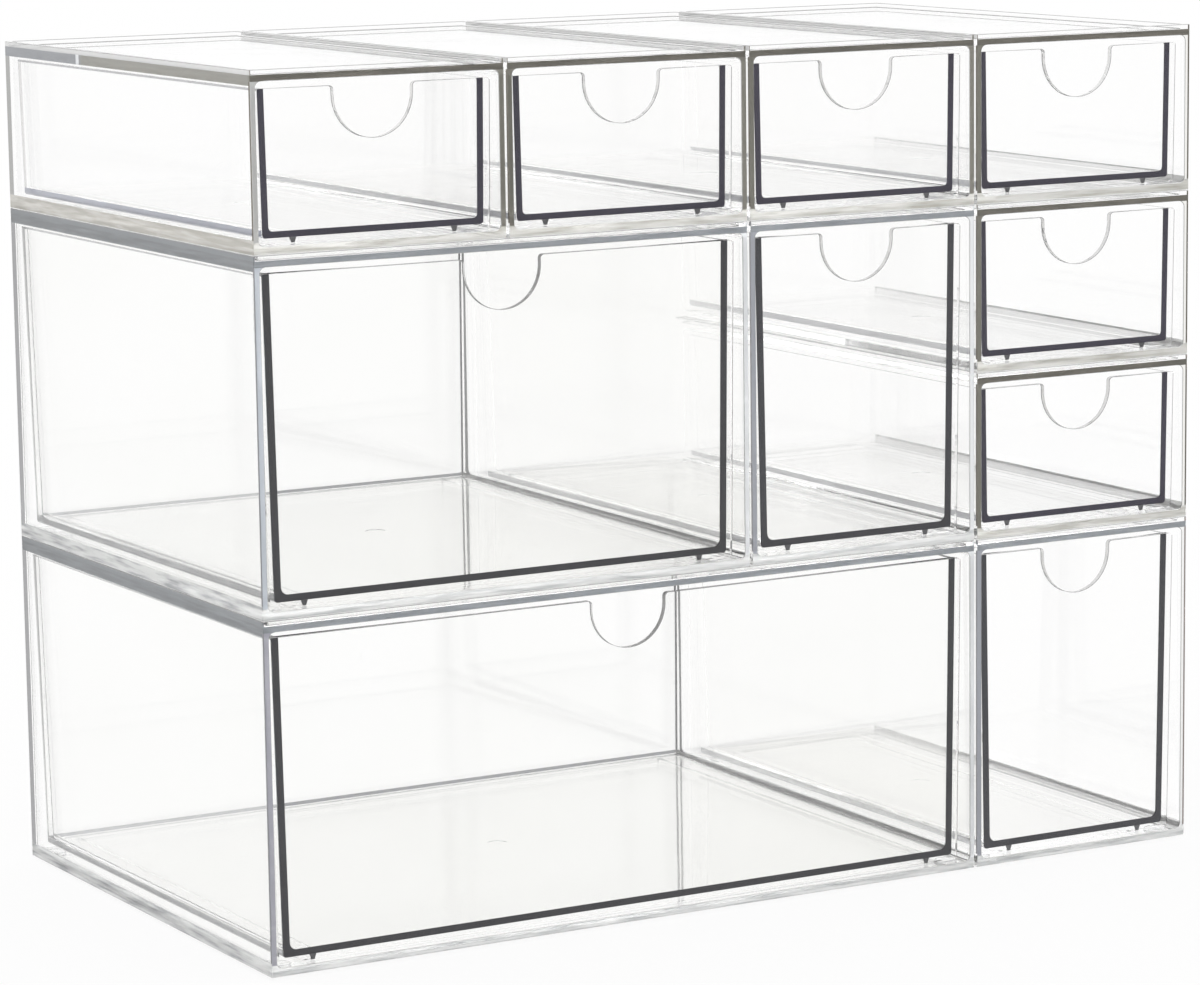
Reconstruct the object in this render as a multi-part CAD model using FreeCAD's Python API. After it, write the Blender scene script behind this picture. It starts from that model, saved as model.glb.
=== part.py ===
import FreeCAD, Part
import math
import os

os.makedirs("parts", exist_ok=True)

# Stackable clear drawers: every unit is a moulded case open at the front and a
# moulded drawer that slides in it.  Sizes in millimetres.  The front faces -Y,
# +X is to the right, +Z is up, and the row of foot pads stands on Z = 0.

# ---- module of the stack -------------------------------------------------
COLUMN_PITCH = 88.0        # one narrow unit with its share of the side gap
LEVEL_HEIGHT = 56.2        # one low unit, measured rim to rim in the stack
CASE_DEPTH = 192.0         # front frame to back wall
COLUMNS = 4                # columns in the whole stack
SIDE_GAP = 0.8             # free gap between neighbouring cases
SEAT_GAP = 0.1             # free gap between a rim and the case seated on it

# ---- case ------------------------------------------------------------------
CASE_WALL = 2.0            # side walls, back wall and stacking rim
TOP_THICKNESS = 2.0        # top panel
FLOOR_THICKNESS = 1.7      # panel under the drawer
FLOOR_RISE = 0.9           # floor above the lower edge of the walls
RIM_HEIGHT = 1.6           # rim above the top panel
RIM_DRAFT = 0.2            # rim gets thinner by this much towards its top
OPENING_RADIUS = 2.0       # inside corners of the case
CASE_BACK_RADIUS = 1.2     # outside corners at the back
CASE_EDGE_RADIUS = 0.5     # outside corners at the front

# ---- drawer ----------------------------------------------------------------
DRAWER_WALL = 1.9          # walls, floor and front plate
DRAFT_ANGLE = 0.85         # taper of the drawer walls, degrees
PLATE_CLEARANCE = 1.0      # front plate to case wall, at the top
PLATE_OVERHANG = 1.9       # front plate past the side walls behind it
PLATE_RADIUS = 1.0         # corners of the front plate
HEAD_CLEARANCE = 2.5       # drawer top to the top panel
REAR_CLEARANCE = 0.6       # drawer to the back wall when shut
FRONT_RECESS = 3.8         # front plate behind the front of the case
SLIDE_CLEARANCE = 0.1      # runner ribs to the case floor
RUNNER_HEIGHT = 1.8        # ribs under the drawer floor
RUNNER_TOP_WIDTH = 1.8
RUNNER_FOOT_WIDTH = 1.1
RUNNER_INSET = 10.2        # rib centre from the outside of the side wall
RUNNER_FRONT_LIFT = 0.3    # front plate ends this far above the rib foot
LOW_CORNER_RADIUS = 1.4    # inside corners along the floor of a low drawer
TALL_CORNER_RADIUS = 2.4   # the same in the taller drawers
BACK_CORNER_RADIUS = 2.6   # upright inside corners at the back, at the floor
BACK_EDGE_RADIUS = 1.2     # upright outside edges at the back, at the floor

# ---- finger notch ------------------------------------------------------------
NOTCH_WIDTH = 27.0
NOTCH_DEPTH = 16.5
NOTCH_LIP_RADIUS = 1.4     # where the notch meets the top edge

# ---- foot pads -----------------------------------------------------------------
PAD_RADIUS = 4.0
PAD_STAND = 1.0            # pad below the case walls, drops inside the rim below
PAD_EDGE_RADIUS = 1.0
NEST_CLEARANCE = 0.4       # pad to the side of the rim
PAD_END_INSET = 8.4        # pad centre from the front and the back

# ---- sizes that follow ------------------------------------------------------------
FLOOR_TOP = FLOOR_RISE + FLOOR_THICKNESS
DRAWER_UNDERSIDE = FLOOR_TOP + SLIDE_CLEARANCE + RUNNER_HEIGHT
PAD_SIDE_INSET = CASE_WALL + NEST_CLEARANCE + PAD_RADIUS
DRAFT = math.tan(math.radians(DRAFT_ANGLE))
FRONT = -CASE_DEPTH / 2
BACK = CASE_DEPTH / 2

# name, first column, columns wide, first level, levels high
UNITS = [
    ("bottom_triple", 0, 3, 0, 2),
    ("bottom_tall", 3, 1, 0, 2),
    ("middle_double", 0, 2, 2, 2),
    ("middle_tall", 2, 1, 2, 2),
    ("right_low", 3, 1, 2, 1),
    ("right_mid", 3, 1, 3, 1),
    ("top_first", 0, 1, 4, 1),
    ("top_second", 1, 1, 4, 1),
    ("top_third", 2, 1, 4, 1),
    ("top_fourth", 3, 1, 4, 1),
]


def vec(x, y, z):
    return FreeCAD.Vector(x, y, z)


def block(half_width, front, back, bottom, top):
    """Box centred on the YZ plane."""
    size = (2 * half_width, back - front, top - bottom)
    return Part.makeBox(*size, vec(-half_width, front, bottom))


def upright_edges(shape, wanted):
    """Straight edges along Z whose middle passes a test."""
    upright = [edge for edge in shape.Edges if edge.BoundBox.ZLength > edge.Length / 2]
    return [edge for edge in upright if wanted(edge.BoundBox.Center)]


def rounded_block(half_width, front, back, bottom, top, front_radius, back_radius):
    """Box with its four upright edges rounded."""
    solid = block(half_width, front, back, bottom, top)
    middle = (front + back) / 2
    solid = solid.makeFillet(front_radius, upright_edges(solid, lambda p: p.y < middle))
    return solid.makeFillet(back_radius, upright_edges(solid, lambda p: p.y > middle))


def rounded_ring(half_width, front, back, height, radius):
    """Level rectangle with four rounded corners, as a closed wire."""
    x, near, far = half_width - radius, front + radius, back - radius
    corners = [vec(-x, near, height), vec(x, near, height), vec(x, far, height),
               vec(-x, far, height)]
    return Part.makePolygon(corners + corners[:1]).makeOffset2D(radius)


def case_half_width(columns):
    return (columns * COLUMN_PITCH - SIDE_GAP) / 2


def case_height(levels):
    return levels * LEVEL_HEIGHT - SEAT_GAP


def opening_top(levels):
    return case_height(levels) - RIM_HEIGHT - TOP_THICKNESS


def drawer_top(levels):
    return opening_top(levels) - HEAD_CLEARANCE


def cut_opening(case, half_width, levels):
    """Space for the drawer, open at the front, with rounded inside corners."""
    inside = half_width - CASE_WALL
    back = BACK - CASE_WALL
    space = block(inside, FRONT, back, FLOOR_TOP, opening_top(levels))
    not_at_front = [edge for edge in space.Edges if edge.BoundBox.YMax > FRONT + CASE_WALL]
    return case.cut(space.makeFillet(OPENING_RADIUS, not_at_front))


def cut_rim(case, half_width, levels):
    """Shallow tray that leaves a stacking rim round the top panel."""
    top = case_height(levels)
    low_side, low_end = half_width - CASE_WALL, BACK - CASE_WALL
    high_side, high_end = low_side + RIM_DRAFT, low_end + RIM_DRAFT
    low = rounded_ring(low_side, -low_end, low_end, top - RIM_HEIGHT, CASE_BACK_RADIUS)
    high = rounded_ring(high_side, -high_end, high_end, top, CASE_BACK_RADIUS + RIM_DRAFT)
    return case.cut(Part.makeLoft([low, high], True, True))


def cut_underside(case, half_width):
    """Shallow recess under the floor, so that the case stands on its walls."""
    side, end = half_width - CASE_WALL, BACK - CASE_WALL
    return case.cut(rounded_block(side, -end, end, 0, FLOOR_RISE,
                                  CASE_BACK_RADIUS, CASE_BACK_RADIUS))


def make_case(columns, levels):
    """One-piece case: walls, floor, top panel and stacking rim."""
    half_width = case_half_width(columns)
    case = rounded_block(half_width, FRONT, BACK, 0, case_height(levels),
                         CASE_EDGE_RADIUS, CASE_BACK_RADIUS)
    case = cut_opening(case, half_width, levels)
    case = cut_rim(case, half_width, levels)
    case = cut_underside(case, half_width)
    return case.removeSplitter()


def tray_ring(half_width, back, height, radius):
    """Level outline of a drawer: square at the front, round corners at the back."""
    front = FRONT + FRONT_RECESS
    x, far = half_width - radius, back - radius
    bend = radius * math.sqrt(0.5)
    right = Part.Arc(vec(half_width, far, height), vec(x + bend, far + bend, height),
                     vec(x, back, height))
    left = Part.Arc(vec(-x, back, height), vec(-x - bend, far + bend, height),
                    vec(-half_width, far, height))
    pieces = [
        Part.LineSegment(vec(-half_width, front, height), vec(half_width, front, height)),
        Part.LineSegment(vec(half_width, front, height), vec(half_width, far, height)),
        right,
        Part.LineSegment(vec(x, back, height), vec(-x, back, height)),
        left,
        Part.LineSegment(vec(-half_width, far, height), vec(-half_width, front, height)),
    ]
    return Part.Wire([piece.toShape() for piece in pieces])


def tapered_tray(half_top, back, bottom, top, corner_radius, floor_radius):
    """Solid with draft on its sides and back and a round along its bottom edges."""
    lean = (top - bottom) * DRAFT
    low = tray_ring(half_top - lean, back - lean, bottom, corner_radius)
    high = tray_ring(half_top, back, top, corner_radius + lean)
    solid = Part.makeLoft([low, high], True, True)
    flat = FRONT + FRONT_RECESS + lean / 2
    around = [edge for edge in solid.Edges
              if edge.BoundBox.ZMax < bottom + lean / 2 and edge.BoundBox.YMax > flat]
    return solid.makeFillet(floor_radius, around)


def make_tub(half_width, levels):
    """Floor, two side walls and back wall of a drawer, all with draft."""
    top = drawer_top(levels)
    back = BACK - CASE_WALL - REAR_CLEARANCE
    low_radius = LOW_CORNER_RADIUS if levels == 1 else TALL_CORNER_RADIUS
    outer = tapered_tray(half_width, back, DRAWER_UNDERSIDE, top, BACK_EDGE_RADIUS,
                         PLATE_RADIUS)
    inner = tapered_tray(half_width - DRAWER_WALL, back - DRAWER_WALL,
                         DRAWER_UNDERSIDE + DRAWER_WALL, top, BACK_CORNER_RADIUS, low_radius)
    return outer.cut(inner)


def make_plate(half_width, levels):
    """Flat front of a drawer, a little wider and deeper than the tub behind."""
    top = drawer_top(levels)
    bottom = FLOOR_TOP + SLIDE_CLEARANCE + RUNNER_FRONT_LIFT
    half_top = half_width + PLATE_OVERHANG
    half_bottom = half_top - (top - bottom) * DRAFT
    front = FRONT + FRONT_RECESS
    corners = [
        vec(-half_bottom, front, bottom),
        vec(half_bottom, front, bottom),
        vec(half_top, front, top),
        vec(-half_top, front, top),
    ]
    outline = Part.Face(Part.makePolygon(corners + corners[:1]))
    plate = outline.extrude(vec(0, DRAWER_WALL, 0))
    across = [edge for edge in plate.Edges if edge.BoundBox.YLength > DRAWER_WALL / 2]
    return plate.makeFillet(PLATE_RADIUS, across)


def notch_outline(top):
    """Closed outline of the finger notch, from the top edge down to the half circle."""
    half = NOTCH_WIDTH / 2
    lip = NOTCH_LIP_RADIUS
    centre = top - NOTCH_DEPTH + half
    over = top + lip
    slope = lip * (1 - math.sqrt(0.5))
    left_lip = Part.Arc(vec(-half - lip, 0, top), vec(-half - slope, 0, top - slope),
                        vec(-half, 0, top - lip))
    right_lip = Part.Arc(vec(half, 0, top - lip), vec(half + slope, 0, top - slope),
                         vec(half + lip, 0, top))
    bowl = Part.Arc(vec(-half, 0, centre), vec(0, 0, centre - half), vec(half, 0, centre))
    pieces = [
        left_lip,
        Part.LineSegment(vec(-half, 0, top - lip), vec(-half, 0, centre)),
        bowl,
        Part.LineSegment(vec(half, 0, centre), vec(half, 0, top - lip)),
        right_lip,
        Part.LineSegment(vec(half + lip, 0, top), vec(half + lip, 0, over)),
        Part.LineSegment(vec(half + lip, 0, over), vec(-half - lip, 0, over)),
        Part.LineSegment(vec(-half - lip, 0, over), vec(-half - lip, 0, top)),
    ]
    return Part.Wire([piece.toShape() for piece in pieces])


def make_notch(levels):
    """Cutter for the finger notch in the middle of the top edge."""
    face = Part.Face(notch_outline(drawer_top(levels)))
    face.translate(vec(0, FRONT, 0))
    return face.extrude(vec(0, FRONT_RECESS + 2 * DRAWER_WALL, 0))


def make_runner(half_width, levels, side):
    """Rib under the drawer floor that carries it on the floor of the case."""
    top = drawer_top(levels)
    outside = half_width - (top - DRAWER_UNDERSIDE) * DRAFT
    centre = side * (outside - RUNNER_INSET)
    foot = DRAWER_UNDERSIDE - RUNNER_HEIGHT
    front = FRONT + FRONT_RECESS + DRAWER_WALL / 2
    back = BACK - CASE_WALL - REAR_CLEARANCE - BACK_CORNER_RADIUS - 2 * DRAWER_WALL
    half_top, half_foot = RUNNER_TOP_WIDTH / 2, RUNNER_FOOT_WIDTH / 2
    corners = [
        vec(centre - half_top, front, DRAWER_UNDERSIDE + DRAWER_WALL / 2),
        vec(centre - half_top, front, DRAWER_UNDERSIDE),
        vec(centre - half_foot, front, foot),
        vec(centre + half_foot, front, foot),
        vec(centre + half_top, front, DRAWER_UNDERSIDE),
        vec(centre + half_top, front, DRAWER_UNDERSIDE + DRAWER_WALL / 2),
    ]
    section = Part.Face(Part.makePolygon(corners + corners[:1]))
    return section.extrude(vec(0, back - front, 0))


def make_drawer(columns, levels):
    """One-piece drawer: tub, front plate with finger notch, two runner ribs."""
    half_width = case_half_width(columns) - CASE_WALL - PLATE_CLEARANCE - PLATE_OVERHANG
    drawer = make_tub(half_width, levels)
    drawer = drawer.fuse(make_plate(half_width, levels))
    for side in (-1, 1):
        drawer = drawer.fuse(make_runner(half_width, levels, side))
    drawer = drawer.cut(make_notch(levels))
    return drawer.removeSplitter()


def make_pad():
    """Soft round pad with a domed edge, stuck under the floor of a case."""
    top, bottom = FLOOR_RISE, -PAD_STAND
    edge = PAD_RADIUS - PAD_EDGE_RADIUS
    bend = PAD_EDGE_RADIUS * math.sqrt(0.5)
    arc = Part.Arc(
        vec(edge, 0, bottom),
        vec(edge + bend, 0, bottom + PAD_EDGE_RADIUS - bend),
        vec(PAD_RADIUS, 0, bottom + PAD_EDGE_RADIUS),
    )
    pieces = [
        Part.LineSegment(vec(0, 0, bottom), vec(edge, 0, bottom)),
        arc,
        Part.LineSegment(vec(PAD_RADIUS, 0, bottom + PAD_EDGE_RADIUS), vec(PAD_RADIUS, 0, top)),
        Part.LineSegment(vec(PAD_RADIUS, 0, top), vec(0, 0, top)),
        Part.LineSegment(vec(0, 0, top), vec(0, 0, bottom)),
    ]
    section = Part.Face(Part.Wire([piece.toShape() for piece in pieces]))
    return section.revolve(vec(0, 0, 0), vec(0, 0, 1), 360)


def make_pads(columns):
    """Four pads near the corners of one case."""
    across = case_half_width(columns) - PAD_SIDE_INSET
    along = CASE_DEPTH / 2 - PAD_END_INSET
    pads = []
    for x in (-across, across):
        for y in (-along, along):
            pad = make_pad()
            pad.translate(vec(x, y, 0))
            pads.append(pad)
    return Part.makeCompound(pads)


def place(shape, first_column, columns, first_level):
    """Move a piece from its own case to its place in the stack."""
    middle = (first_column + columns / 2 - COLUMNS / 2) * COLUMN_PITCH
    height = PAD_STAND + first_level * LEVEL_HEIGHT
    moved = shape.copy()
    moved.translate(vec(middle, 0, height))
    return moved


def save(shape, name):
    shape.exportStep("parts/" + name + ".step")


def main():
    for name, first_column, columns, first_level, levels in UNITS:
        case = make_case(columns, levels)
        drawer = make_drawer(columns, levels)
        pads = make_pads(columns)
        save(place(case, first_column, columns, first_level), "case_" + name)
        save(place(drawer, first_column, columns, first_level), "drawer_" + name)
        save(place(pads, first_column, columns, first_level), "pads_" + name)


main()
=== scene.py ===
import math

import bmesh
import bpy
from mathutils import Matrix, Vector


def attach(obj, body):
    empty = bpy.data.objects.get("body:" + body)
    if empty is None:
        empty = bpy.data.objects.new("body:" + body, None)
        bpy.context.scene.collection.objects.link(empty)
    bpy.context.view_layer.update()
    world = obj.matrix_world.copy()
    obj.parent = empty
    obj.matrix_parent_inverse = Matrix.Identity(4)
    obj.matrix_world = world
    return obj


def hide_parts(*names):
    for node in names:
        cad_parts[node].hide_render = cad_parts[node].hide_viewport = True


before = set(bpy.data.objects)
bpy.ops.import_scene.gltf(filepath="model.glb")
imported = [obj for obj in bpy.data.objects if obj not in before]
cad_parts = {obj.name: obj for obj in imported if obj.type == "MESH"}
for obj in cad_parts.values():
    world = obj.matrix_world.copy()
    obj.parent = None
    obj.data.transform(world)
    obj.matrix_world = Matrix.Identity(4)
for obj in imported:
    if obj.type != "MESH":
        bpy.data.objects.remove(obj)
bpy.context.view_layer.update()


# ---- Low cases -----------------------------------------------------------------
# Six narrow, low units.  Each case is one moulding of clear polystyrene, open at the
# front, with a stacking rim round its top panel.  It stands in the rim of the unit below.

FRONT, BACK = -0.096, 0.096
COLUMNS, LEVELS = 4, 5
PITCH, LEVEL = 0.088, 0.0562
SIDE_GAP, TOP_GAP = 0.0004, 0.0001
PAD_STAND = 0.001
CASE_WALL = 0.002
FLOOR_RISE, FLOOR_TOP = 0.0009, 0.0026
TOP_PANEL, RIM, RIM_DRAFT = 0.002, 0.0016, 0.0002
OPENING_RADIUS, BACK_RADIUS, FRONT_RADIUS = 0.002, 0.0012, 0.0005
OPENING_STEPS, BACK_STEPS, RIM_STEPS, FRONT_STEPS = 7, 5, 4, 3
FINE_ROUND, FINE_STEPS, SHARP_EDGE = 0.00018, 2, math.radians(50)
GATE_RADIUS, GATE_DEPTH = 0.0034, 0.00012

# Bands of a wall that look different because the light runs along them
FLOOR_ROUND, TOP_ROUND, BACK_BAND = 0.0012, 0.0012, 0.0046
SIDE_FLOOR_BAND, RIGHT_LINE = 0.0046, 0.0009
OUTER_SKIN, SEAM_DEPTH, SEAM_START, FOOT_EDGES = 0.0013, 0.0014, 0.002, 0.0004

# How far a cutter reaches past what it cuts, how near two places must be to count as the
# same, and how much of a direction must lie along another to count as along, towards or
# aslant of it
PAST, SNAP = 0.01, 0.0001
ALONG, TOWARDS, CORNERWISE, ASLANT = 0.9, 0.5, 0.4, 0.3

# unit: (first column, columns wide, first level, levels high)
UNITS = {
    "top_first": (0, 1, 4, 1), "top_second": (1, 1, 4, 1), "top_third": (2, 1, 4, 1),
    "top_fourth": (3, 1, 4, 1), "right_mid": (3, 1, 3, 1), "right_low": (3, 1, 2, 1),
    "middle_tall": (2, 1, 2, 2), "bottom_tall": (3, 1, 0, 2),
    "middle_double": (0, 2, 2, 2), "bottom_triple": (0, 3, 0, 2),
}

# Material slots of a case, in the order of its list of finishes: the clear wall, then tints of
# painted shade and painted light for its edges and bands
(WALL, TOP_END, RIM_EDGE, PANEL_EDGE, FLOOR_EDGE, BACK_EDGE, OUTER_END, FINE_EDGE, FLOOR_END,
 LEFT_END, HIGHLIGHT_EDGE, PALE_EDGE, FRONT_CORNER, RIGHT_OUTER_END, RIGHT_END, RIGHT_EDGE_LINE,
 INNER_CORNER) = range(17)


def leave_edit_mode():
    if bpy.context.mode != "OBJECT":
        bpy.ops.object.mode_set(mode="OBJECT")


def choose_only(piece):
    """Leave this piece alone in the selection, and active."""
    leave_edit_mode()
    bpy.ops.object.select_all(action="DESELECT")
    piece.select_set(True)
    bpy.context.view_layer.objects.active = piece


def new_block(name, low, high):
    """Block between two corners."""
    leave_edit_mode()
    bpy.ops.object.select_all(action="DESELECT")
    middle = [(a + b) / 2 for a, b in zip(low, high)]
    size = [b - a for a, b in zip(low, high)]
    bpy.ops.mesh.primitive_cube_add(size=1, location=middle, scale=size)
    bpy.ops.object.transform_apply(location=True, rotation=False, scale=True)
    block = bpy.context.object
    block.name = name
    return block


def pick(piece, kind, wanted):
    """Edit mode, with the faces or edges selected whose middle and self pass a test."""
    choose_only(piece)
    bpy.ops.object.mode_set(mode="EDIT")
    bpy.ops.mesh.select_mode(type="FACE" if kind == "faces" else "EDGE")
    bpy.ops.mesh.select_all(action="DESELECT")
    mesh = bmesh.from_edit_mesh(piece.data)
    for item in getattr(mesh, kind):
        middle = sum((corner.co for corner in item.verts), Vector()) / len(item.verts)
        item.select_set(bool(wanted(middle, item)))
    bmesh.update_edit_mesh(piece.data)


def run(edge):
    """Direction of an edge, without its sign."""
    line = (edge.verts[1].co - edge.verts[0].co).normalized()
    return Vector((abs(line.x), abs(line.y), abs(line.z)))


def upright(edge):
    return run(edge).z > ALONG


def round_edges(piece, wanted, radius, segments, slot=-1):
    """Round the edges that pass the test; slot names the material slot of the rounds."""
    pick(piece, "edges", wanted)
    bpy.ops.mesh.bevel(offset=radius, segments=segments, affect="EDGES", clamp_overlap=False,
                       material=slot)
    leave_edit_mode()


def resize_face(piece, wanted, size, middle):
    """Narrow or widen a block at one face, which gives it draft."""
    pick(piece, "faces", wanted)
    bpy.ops.transform.resize(value=size, center_override=middle)
    leave_edit_mode()


def faces_down(at, face):
    return face.normal.z < -ALONG


def faces_up(at, face):
    return face.normal.z > ALONG


def combine(piece, other, operation):
    """Cut another solid out of a piece, or weld it on, and drop the other."""
    choose_only(piece)
    joint = piece.modifiers.new("joint", "BOOLEAN")
    joint.operation, joint.solver, joint.object = operation, "EXACT", other
    bpy.ops.object.modifier_apply(modifier=joint.name)
    choose_only(other)
    bpy.ops.object.delete()


def gate_mark(piece, middle, turned_back=False):
    """Shallow round mark where the hot plastic ran into the mould."""
    leave_edit_mode()
    bpy.ops.object.select_all(action="DESELECT")
    bpy.ops.mesh.primitive_cylinder_add(vertices=48, radius=GATE_RADIUS, depth=2 * GATE_DEPTH,
                                        location=middle)
    disc = bpy.context.object
    if turned_back:
        bpy.ops.transform.rotate(value=math.pi / 2, orient_axis="X", center_override=middle)
    bpy.ops.object.transform_apply(location=True, rotation=True, scale=False)
    combine(piece, disc, "DIFFERENCE")


def split_all(piece, place, normal):
    """Cut lines into the faces along a plane, without opening them."""
    pick(piece, "faces", lambda middle, face: True)
    bpy.ops.mesh.bisect(plane_co=place, plane_no=normal)
    leave_edit_mode()


def case_size(columns, levels):
    """Half the width of a case, its height, and the height of the top of its opening."""
    top = levels * LEVEL - TOP_GAP
    return columns * PITCH / 2 - SIDE_GAP, top, top - RIM - TOP_PANEL


def mould_case(name, columns, levels, slots):
    """Case round X = 0, with the lower edge of its walls at Z = 0."""
    half, top, opening_top = case_size(columns, levels)
    case = new_block(name, (-half, FRONT, 0), (half, BACK, top))
    for material in slots:
        case.data.materials.append(material)
    round_edges(case, lambda at, edge: upright(edge) and at.y > 0, BACK_RADIUS, BACK_STEPS)
    round_edges(case, lambda at, edge: upright(edge) and at.y < 0, FRONT_RADIUS, FRONT_STEPS,
                slot=FRONT_CORNER)

    inside, end = half - CASE_WALL, BACK - CASE_WALL
    space = new_block("space", (-inside, FRONT - PAST, FLOOR_TOP), (inside, end, opening_top))
    round_edges(space, lambda at, edge: at.y > FRONT - PAST / 2, OPENING_RADIUS,
                OPENING_STEPS)
    combine(case, space, "DIFFERENCE")

    tray = new_block("tray", (-inside, -end, top - RIM), (inside, end, top + RIM))
    wider = 1 + 2 * RIM_DRAFT / inside
    longer = 1 + 2 * RIM_DRAFT / end
    resize_face(tray, faces_up, (wider, longer, 1), (0, 0, top))
    round_edges(tray, lambda at, edge: upright(edge), BACK_RADIUS, RIM_STEPS)
    combine(case, tray, "DIFFERENCE")

    under = new_block("under", (-inside, -end, -PAST / 2), (inside, end, FLOOR_RISE))
    round_edges(under, lambda at, edge: upright(edge), BACK_RADIUS, RIM_STEPS)
    combine(case, under, "DIFFERENCE")

    for height in (FLOOR_TOP + FLOOR_ROUND, SIDE_FLOOR_BAND, opening_top - TOP_ROUND,
                   opening_top, top - RIM):
        split_all(case, (0, 0, height), (0, 0, 1))
    split_all(case, (0, BACK - BACK_BAND, 0), (0, 1, 0))
    split_all(case, (half - RIGHT_LINE, 0, 0), (1, 0, 0))
    return case


def sort_case_faces(case, columns, levels):
    """Give the faces that show a wall or a panel end-on their own slots, which carry painted
    shade.
    """
    half, top, opening_top = case_size(columns, levels)
    inner_x, inner_y = half - CASE_WALL - OPENING_RADIUS, BACK - CASE_WALL - OPENING_RADIUS
    for face in case.data.polygons:
        at, turned = face.center, face.normal
        if at.y < FRONT + SNAP and turned.y < -TOWARDS:
            if opening_top - SNAP < at.z < top - RIM:
                face.material_index = TOP_END
            elif at.z < FLOOR_TOP + FLOOR_ROUND:
                face.material_index = FLOOR_END
            elif at.x > half - RIGHT_LINE:
                face.material_index = RIGHT_EDGE_LINE
            elif at.z < top - RIM:
                face.material_index = LEFT_END if at.x < 0 else RIGHT_END
        elif abs(at.x) > half - OUTER_SKIN and at.x * turned.x > 0 and abs(turned.x) > ASLANT:
            if face.material_index == FRONT_CORNER and SIDE_FLOOR_BAND < at.z < opening_top:
                continue
            if at.z > top - RIM:
                face.material_index = RIM_EDGE
            elif at.z > opening_top - TOP_ROUND:
                face.material_index = PANEL_EDGE
            elif at.z < SIDE_FLOOR_BAND:
                face.material_index = FLOOR_EDGE
            elif at.y > BACK - BACK_BAND:
                face.material_index = BACK_EDGE
        elif columns > 1 and at.x > inner_x and at.y > inner_y \
                and turned.x < -CORNERWISE and turned.y < -CORNERWISE:
            face.material_index = INNER_CORNER


class Tone:
    """A value of a material that Python's operators work on."""

    def __init__(self, finish, socket):
        self.finish, self.socket = finish, socket

    def sum_up(self, operation, first, second):
        return self.finish.make("ShaderNodeMath", {"operation": operation},
                                {0: first, 1: second})

    def __add__(self, other):
        return self.sum_up("ADD", self, other)

    def __radd__(self, other):
        return self.sum_up("ADD", other, self)

    def __sub__(self, other):
        return self.sum_up("SUBTRACT", self, other)

    def __rsub__(self, other):
        return self.sum_up("SUBTRACT", other, self)

    def __mul__(self, other):
        return self.sum_up("MULTIPLY", self, other)

    def __rmul__(self, other):
        return self.sum_up("MULTIPLY", other, self)


class Finish:
    """One material, filled with nodes by make()."""

    def __init__(self, name):
        self.material = bpy.data.materials.new(name)
        self.material.use_nodes = True
        self.tree = self.material.node_tree
        self.tree.nodes.clear()
        self.out = self.tree.nodes.new("ShaderNodeOutputMaterial")

    def make(self, kind, settings=None, inputs=None, output=0):
        """Add a node: its settings first, then the values or links of its sockets."""
        node = self.tree.nodes.new(kind)
        for key, value in (settings or {}).items():
            setattr(node, key, value)
        for key, value in (inputs or {}).items():
            if isinstance(value, Tone):
                self.tree.links.new(value.socket, node.inputs[key])
            else:
                node.inputs[key].default_value = value
        return Tone(self, node.outputs[output])

    def place(self):
        """Where a point is on the object, in metres."""
        return self.make("ShaderNodeTexCoord", output=3)

    def noise(self, scale, detail=2.0, stretch=(1, 1, 1)):
        """Smooth random value between 0 and 1."""
        place = self.make("ShaderNodeMapping", None, {"Vector": self.place(), "Scale": stretch})
        return self.make("ShaderNodeTexNoise", None,
                         {"Vector": place, "Scale": scale, "Detail": detail})

    def blend_colours(self, factor, first, second):
        return self.make("ShaderNodeMix", {"data_type": "RGBA"},
                         {0: factor, 6: first, 7: second}, output=2)

    def show(self, surface):
        self.tree.links.new(surface.socket, self.out.inputs["Surface"])
        return self.material


def shade(red, green, blue):
    """Colour as a paint chart gives it, 0 to 255, as the light that it sends back."""
    parts = [value / 255 for value in (red, green, blue)]
    light = [v / 12.92 if v < 0.04045 else ((v + 0.055) / 1.055) ** 2.4 for v in parts]
    return (*light, 1)


CLEAR, NEARLY_CLEAR = (1, 1, 1, 1), (0.997, 0.9965, 0.995, 1)
FULL_BENDING, NARROW_BENDING, WIDE_BENDING = 1.5, 1.06, 1.3
WALL_SHINE, SHINE_ROUGHNESS = 0.5, 0.02
FLOW_SCALE, FLOW_STRETCH, FLOW_ROUGHNESS = 18, (1, 0.35, 1), 0.012
RIPPLE_SCALE, RIPPLE_STRENGTH, RIPPLE_DEPTH = 26, 0.02, 0.002


def clear_plastic(name, first, second, see_through=1.0, roughness=0.01,
                  bending=FULL_BENDING):
    """Clear moulded plastic, a little uneven.

    The thin walls hardly bend the light and have a coat for their shine.
    """
    finish = Finish(name)
    flow = finish.noise(FLOW_SCALE, 1.0, FLOW_STRETCH)
    colour = finish.blend_colours(flow, first, second)
    ripple = finish.noise(RIPPLE_SCALE, 1.0)
    normal = finish.make("ShaderNodeBump", None, {
        "Strength": RIPPLE_STRENGTH, "Distance": RIPPLE_DEPTH, "Height": ripple})
    surface = finish.make("ShaderNodeBsdfPrincipled", None, {
        "Base Color": colour, "Roughness": roughness + FLOW_ROUGHNESS * flow, "IOR": bending,
        "Transmission Weight": see_through, "Normal": normal,
        "Coat Weight": WALL_SHINE if bending < FULL_BENDING else 0.0,
        "Coat Roughness": SHINE_ROUGHNESS, "Coat IOR": FULL_BENDING})
    return finish.show(surface)


STREAK_SCALE, STREAK_DETAIL, STREAK_STRETCH = 230, 3.0, (0.22, 0.22, 3)
STREAKS_START, STREAKS_FULL = 0.42, 0.68
EDGE_ROUGHNESS, FLOOR_STREAK_ROUGHNESS, PANEL_STREAK_ROUGHNESS = 0.02, 0.05, 0.03


def fine_streaks(finish):
    """The fine streaks in which the plastic cooled, along the edges."""
    return finish.noise(STREAK_SCALE, STREAK_DETAIL, STREAK_STRETCH)


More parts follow.
